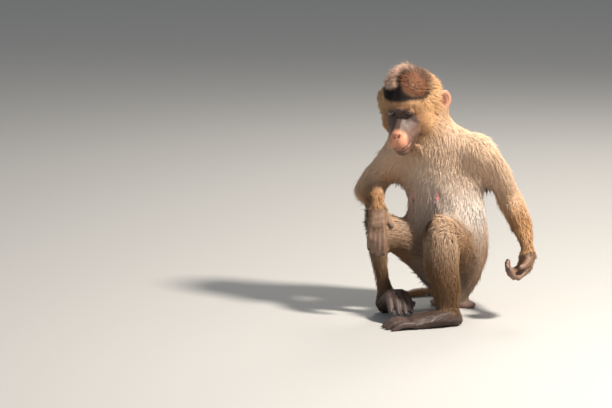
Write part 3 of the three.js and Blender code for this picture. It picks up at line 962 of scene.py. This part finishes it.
def paint_tufts(mesh, colour, count):
    """Darker at the root, lighter at the tip, with now and then a darker or a paler tuft."""
    pale = colour.max(axis=1)[:, None, None]  # pale hair varies less
    spread, root_shade = 0.17 - 0.12 * pale, 0.5 + 0.42 * pale
    dark = np.where(rng.random((count, 1, 1)) > DARK_ONES, 0.72 + 0.2 * pale, 1.0)
    shade = (1 + spread * rng.uniform(-1, 1, (count, 1, 1))) * dark
    along_tuft = root_shade + (1 - root_shade) * ROOT_TO_TIP[None, :, None]
    paint(mesh, (colour[:, None] * shade * along_tuft).clip(0, 1).reshape(-1, 3))


# %% Set all the pieces of coat
in_front = step(-0.3, 0.3, -out[:, 1])
HALF_OF_TRUNK = {"coat_chest": in_front, "coat_back": 1 - in_front}
HAIR_SHARE = 1.0
coats = []
for name, node_names, count, slot, *style in (
    ("coat_head", ["head"], 18500, "head_coat"),
    ("coat_mantle", ["neck"], 9500, "golden_coat", 0.76, (20, 6), 0.3),
    ("coat_chest", ["trunk"], 16500, "pale_coat", 0.72, (15, 4), 0.16),
    ("coat_back", ["trunk"], 11500, "golden_coat", 0.84, (20, 6), 0.3),
    ("coat_arm_left", ["upper_arm_left", "forearm_left"], 11500, "golden_coat"),
    ("coat_arm_right", ["upper_arm_right", "forearm_right"], 9500, "golden_coat"),
    ("coat_leg_left", ["thigh_left", "shin_left"], 11500, "leg_coat"),
    ("coat_leg_right", ["thigh_right", "shin_right"], 9500, "leg_coat"),
    ("coat_tail", ["tail"], 1500, "golden_coat"),
    ("coat_hands_feet", ["hand_left", "hand_right", "foot_left", "foot_right"], 3000, "palm_skin"),
):
    coats.append(coat(name, node_names, int(count * HAIR_SHARE), slot, *style))

# %% [markdown]
# ## Materials
# Skin, hair, horn and glass. The skin's colour is an attribute made by the same markings, with their
# painted shade and light. Noise breaks it into blotches, and fine cells give it pores.

# %% Skin colour under the hair and on the bare parts, with painted shade in mouth, nostrils and ears
FACE_DARK, FACE_PALE, FACE_PINK = tone(78, 58, 50), tone(136, 98, 82), tone(196, 134, 104)
LIP, DEEP_SHADE, EYELID = tone(150, 104, 88), tone(30, 18, 16), tone(64, 46, 38)
PALM, SOLE, EAR_SKIN = tone(124, 96, 80), tone(72, 56, 50), tone(184, 134, 106)
PAD_SKIN, NIPPLE, EAR_BOWL_RED_AND_SHADE = tone(150, 118, 106), tone(212, 118, 118), tone(120, 74, 60)
MUZZLE = ((0, 86, -40), (21, 26, 22))


def face_markings_and_painted_shade(colour):
    skin_tone = blend(FACE_DARK + np.zeros_like(co), FACE_PALE, step(-12, -40, h_skin[:, 2]) * 0.35)
    skin_tone = blend(skin_tone, FACE_PINK, step(1.15, 0.75, ring_from(h_skin, *MUZZLE)))
    # The lip colour is the skin's own. The mouth line and the nostrils are painted near black: painted
    # shade in these hollows.
    for curve, tint, outer, inner, amount in (  # a painted line: none at outer mm, full at inner mm
            (UPPER_LIP, LIP, 3.2, 1.2, 0.6), (LOWER_LIP, LIP, 3.6, 1.4, 0.8),
            (MOUTH, DEEP_SHADE, 2.1, 0.9, 1.0), (NOSTRIL, DEEP_SHADE, 2.4, 1.0, 1.0)):
        skin_tone = blend(skin_tone, tint, step(outer, inner, along(co, curve)[0]) * amount)
    for side in ("left", "right"):
        away = mm_from(co, middle("eye_" + side)) - EYE_RADIUS
        skin_tone = blend(skin_tone, EYELID, step(5, 1.6, away) * 0.8)
    return blend(colour, skin_tone, bare_face_now)


def skin_markings_and_painted_shade():
    colour = face_markings_and_painted_shade(coat_colour_painted_shade_and_light * 0.75)
    for tint, name in ((PALM, "hand"), (SOLE, "foot"), (EAR_SKIN, "ear")):
        colour = blend(colour, tint, on(name))
    for side, sign in (("left", 1), ("right", -1)):
        # The bowl of each ear: the skin is redder there, and darker as painted shade.
        bowl = ring_from(h_skin, (sign * 63, -18, -9), (12, 11, 14))
        colour = blend(colour, EAR_BOWL_RED_AND_SHADE, on("ear_" + side) * step(1.1, 0.7, bowl))
        # The ear canal is painted near black: painted shade in the hole.
        canal = ring_from(h_skin, (sign * 57, -13, -11), (8, 8, 9))
        colour = blend(colour, DEEP_SHADE, on("ear_" + side) * step(1.2, 0.5, canal) * 0.9)
    colour = blend(colour, PAD_SKIN, on("sitting_pad"))
    for spot in nipples:
        colour = blend(colour, NIPPLE, step(10, 6, mm_from(co, spot, NIPPLE_SHAPE)))
    return colour


bare_face_now = on("head") * is_front * (1 - step(0.9, 1.15, ring(h_skin, *FACE_OVAL)))
paint(skin.data, skin_markings_and_painted_shade())
print("painted", net.size, "points of skin")


# %% One effect shared by skin and hair: a noise value breaks up a colour
def mottle_group():
    """Colour times the noise value, once the noise is brought from its own range to a chosen one."""
    tree = bpy.data.node_groups.new("mottle", "ShaderNodeTree")
    tree.interface.new_socket("Colour", in_out="INPUT", socket_type="NodeSocketColor")
    for name, usual in (("Noise", 0.5), ("Noise Low", 0.0), ("Noise High", 1.0),
                        ("Darkest", 0.8), ("Palest", 1.1)):
        socket = tree.interface.new_socket(name, in_out="INPUT", socket_type="NodeSocketFloat")
        socket.default_value = usual
    tree.interface.new_socket("Colour", in_out="OUTPUT", socket_type="NodeSocketColor")
    source, result = tree.nodes.new("NodeGroupInput"), tree.nodes.new("NodeGroupOutput")
    spread, mix = tree.nodes.new("ShaderNodeMapRange"), tree.nodes.new("ShaderNodeMix")
    mix.data_type, mix.blend_type = "RGBA", "MULTIPLY"
    mix.inputs["Factor"].default_value = 1.0
    for name, to in (("Noise", "Value"), ("Noise Low", "From Min"), ("Noise High", "From Max"),
                     ("Darkest", "To Min"), ("Palest", "To Max")):
        tree.links.new(source.outputs[name], spread.inputs[to])
    tree.links.new(source.outputs["Colour"], mix.inputs["A"])
    tree.links.new(spread.outputs["Result"], mix.inputs["B"])
    tree.links.new(mix.outputs["Result"], result.inputs["Colour"])
    return tree


def painted(nodes, links, shader, noise, limits):
    """Base colour: the markings with their painted shade and light, broken up by a noise value in the
    shared group.
    """
    markings_painted_shade_and_light, broken = nodes.new("ShaderNodeAttribute"), nodes.new("ShaderNodeGroup")
    markings_painted_shade_and_light.attribute_name, broken.node_tree = "markings_painted_shade_and_light", mottle
    for name, value in limits.items():
        broken.inputs[name].default_value = value
    links.new(noise, broken.inputs["Noise"])
    links.new(markings_painted_shade_and_light.outputs["Color"], broken.inputs["Colour"])
    links.new(broken.outputs["Colour"], shader.inputs["Base Color"])


mottle = mottle_group()
print("group", mottle.name, "takes", [s.name for s in mottle.interface.items_tree if s.in_out == "INPUT"])


# %% Skin and hair
def material(name):
    m = bpy.data.materials.new(name)
    m.use_nodes = True
    return m, m.node_tree.nodes, m.node_tree.links, m.node_tree.nodes["Principled BSDF"]


def skin_material():
    m, n, link, shader = material("living_skin")
    place = n.new("ShaderNodeTexCoord")
    blotch, pores = n.new("ShaderNodeTexNoise"), n.new("ShaderNodeTexVoronoi")
    blotch.inputs["Scale"].default_value, blotch.inputs["Detail"].default_value = 90, 5
    pores.inputs["Scale"].default_value = 900
    bump = n.new("ShaderNodeBump")
    bump.inputs["Strength"].default_value, bump.inputs["Distance"].default_value = 0.35, 0.0006
    link.new(place.outputs["Object"], blotch.inputs["Vector"])
    link.new(place.outputs["Object"], pores.inputs["Vector"])
    painted(n, link, shader, blotch.outputs["Fac"], {"Darkest": 0.72, "Palest": 1.18})
    link.new(pores.outputs["Distance"], bump.inputs["Height"])
    link.new(bump.outputs["Normal"], shader.inputs["Normal"])
    shader.inputs["Roughness"].default_value = 0.55
    return m


def hair_material():
    m, n, link, shader = material("hair")
    place = n.new("ShaderNodeUVMap")
    place.uv_map = "strand"
    stretch = n.new("ShaderNodeMapping")
    stretch.inputs["Scale"].default_value = (9, 0.6, 1)
    streak = n.new("ShaderNodeTexNoise")
    streak.inputs["Scale"].default_value = 1.0
    link.new(place.outputs["UV"], stretch.inputs["Vector"])
    link.new(stretch.outputs["Vector"], streak.inputs["Vector"])
    painted(n, link, shader, streak.outputs["Fac"],
            {"Noise Low": 0.3, "Noise High": 0.7, "Darkest": 0.82, "Palest": 1.1})
    shader.inputs["Roughness"].default_value = 0.62
    shader.inputs["Specular IOR Level"].default_value = 0.25
    return m


# %% Glass and horn
def eye_material():
    m, n, link, shader = material("glass_eye")
    off_axis = n.new("ShaderNodeAttribute")
    off_axis.attribute_name = "off_axis"
    ramp = n.new("ShaderNodeValToRGB")
    stops = ((0.0, tone(6, 5, 5)), (0.22, tone(8, 6, 5)), (0.26, tone(86, 50, 26)),
             (0.50, tone(60, 34, 20)), (0.58, tone(20, 13, 10)), (0.74, tone(64, 48, 40)))
    while len(ramp.color_ramp.elements) < len(stops):
        ramp.color_ramp.elements.new(0.5)
    for element, (place, colour) in zip(ramp.color_ramp.elements, stops):
        element.position, element.color = place, (*colour, 1)
    link.new(off_axis.outputs["Fac"], ramp.inputs["Fac"])
    link.new(ramp.outputs["Color"], shader.inputs["Base Color"])
    shader.inputs["Roughness"].default_value = 0.08
    shader.inputs["Coat Weight"].default_value = 0.8
    return m


def horn_material():
    m, n, link, shader = material("horn")
    place = n.new("ShaderNodeTexCoord")
    grain = n.new("ShaderNodeTexNoise")
    grain.inputs["Scale"].default_value = 260
    ramp = n.new("ShaderNodeValToRGB")
    ramp.color_ramp.elements[0].color = (*tone(34, 27, 25), 1)
    ramp.color_ramp.elements[1].color = (*tone(84, 68, 60), 1)
    link.new(place.outputs["Object"], grain.inputs["Vector"])
    link.new(grain.outputs["Fac"], ramp.inputs["Fac"])
    link.new(ramp.outputs["Color"], shader.inputs["Base Color"])
    shader.inputs["Roughness"].default_value = 0.35
    return m


# %% Dress every piece
for pieces, m in ((coats, hair_material()), ([skin], skin_material()), ([nails], horn_material()),
                  (eyeballs, eye_material())):
    for piece in pieces:
        piece.data.materials.clear()
        piece.data.materials.append(m)
    print(m.name, "on", len(pieces))

# %% [markdown]
# ## Look: floor, light and camera
# The model stands on a plain pale floor. One big warm lamp high on the right gives the sunlit side,
# a weak sky fills the shade, and a long lens looks slightly down from far away.

# %% Floor, lamps and camera
AIM_LEFT, AIM_BEHIND, AIM_UP = 0.2636, 0.0704, 0.1985
CAMERA_BACK, CAMERA_LENS, CAMERA_DOWN = 6.56, 200, radians(10)


def plain_floor():
    bm = bmesh.new()
    bmesh.ops.create_grid(bm, x_segments=1, y_segments=1, size=6)
    floor = made("floor", bm)
    floor.data.transform(Matrix.Translation((0, 2, -0.0005)))
    paper, _, _, shader = material("floor_paper")
    shader.inputs["Base Color"].default_value = (0.42, 0.41, 0.40, 1)
    shader.inputs["Roughness"].default_value = 0.9
    floor.data.materials.append(paper)
    return floor


def lamp(name, place, aim, size, watts, colour):
    light = bpy.data.lights.new(name, "AREA")
    light.shape, light.size, light.energy, light.color = "DISK", size, watts, colour
    holder = placed(name, light)
    holder.location = place
    holder.rotation_mode = "QUATERNION"
    holder.rotation_quaternion = (Vector(aim) - Vector(place)).to_track_quat("-Z", "Y")
    return holder


chest_point = Vector((0, 0, 0.26))
lamp("key_lamp", (1.5, -1.1, 2.3), chest_point, 0.4, 190, (1.0, 0.93, 0.83))
lamp("fill_lamp", (-2.2, -2.4, 1.6), chest_point, 2.4, 15, (0.90, 0.93, 1.0))
lamp("rim_lamp", (0.6, 2.0, 1.9), chest_point, 1.0, 30, (1.0, 0.95, 0.85))
world = bpy.data.worlds.new("soft_sky")
world.use_nodes = True
sky = world.node_tree.nodes["Background"].inputs
sky["Color"].default_value, sky["Strength"].default_value = (0.80, 0.86, 0.92, 1), 0.32
bpy.context.scene.world = world
bpy.context.scene.view_settings.view_transform = "Standard"
plain_floor()

camera = placed("camera", bpy.data.cameras.new("camera"))
bpy.context.scene.camera = camera
look = Vector((0, cos(CAMERA_DOWN), -sin(CAMERA_DOWN)))
low, high = cad_box
aim = Vector(((low[0] + high[0]) / 2 - AIM_LEFT, AIM_BEHIND, AIM_UP))
camera.location = aim - look * CAMERA_BACK
camera.rotation_mode = "QUATERNION"
camera.rotation_quaternion = look.to_track_quat("-Z", "Y")
camera.data.lens = CAMERA_LENS
camera.data.clip_end = 50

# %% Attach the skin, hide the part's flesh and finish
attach(skin, "root")
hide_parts(*FLESH)
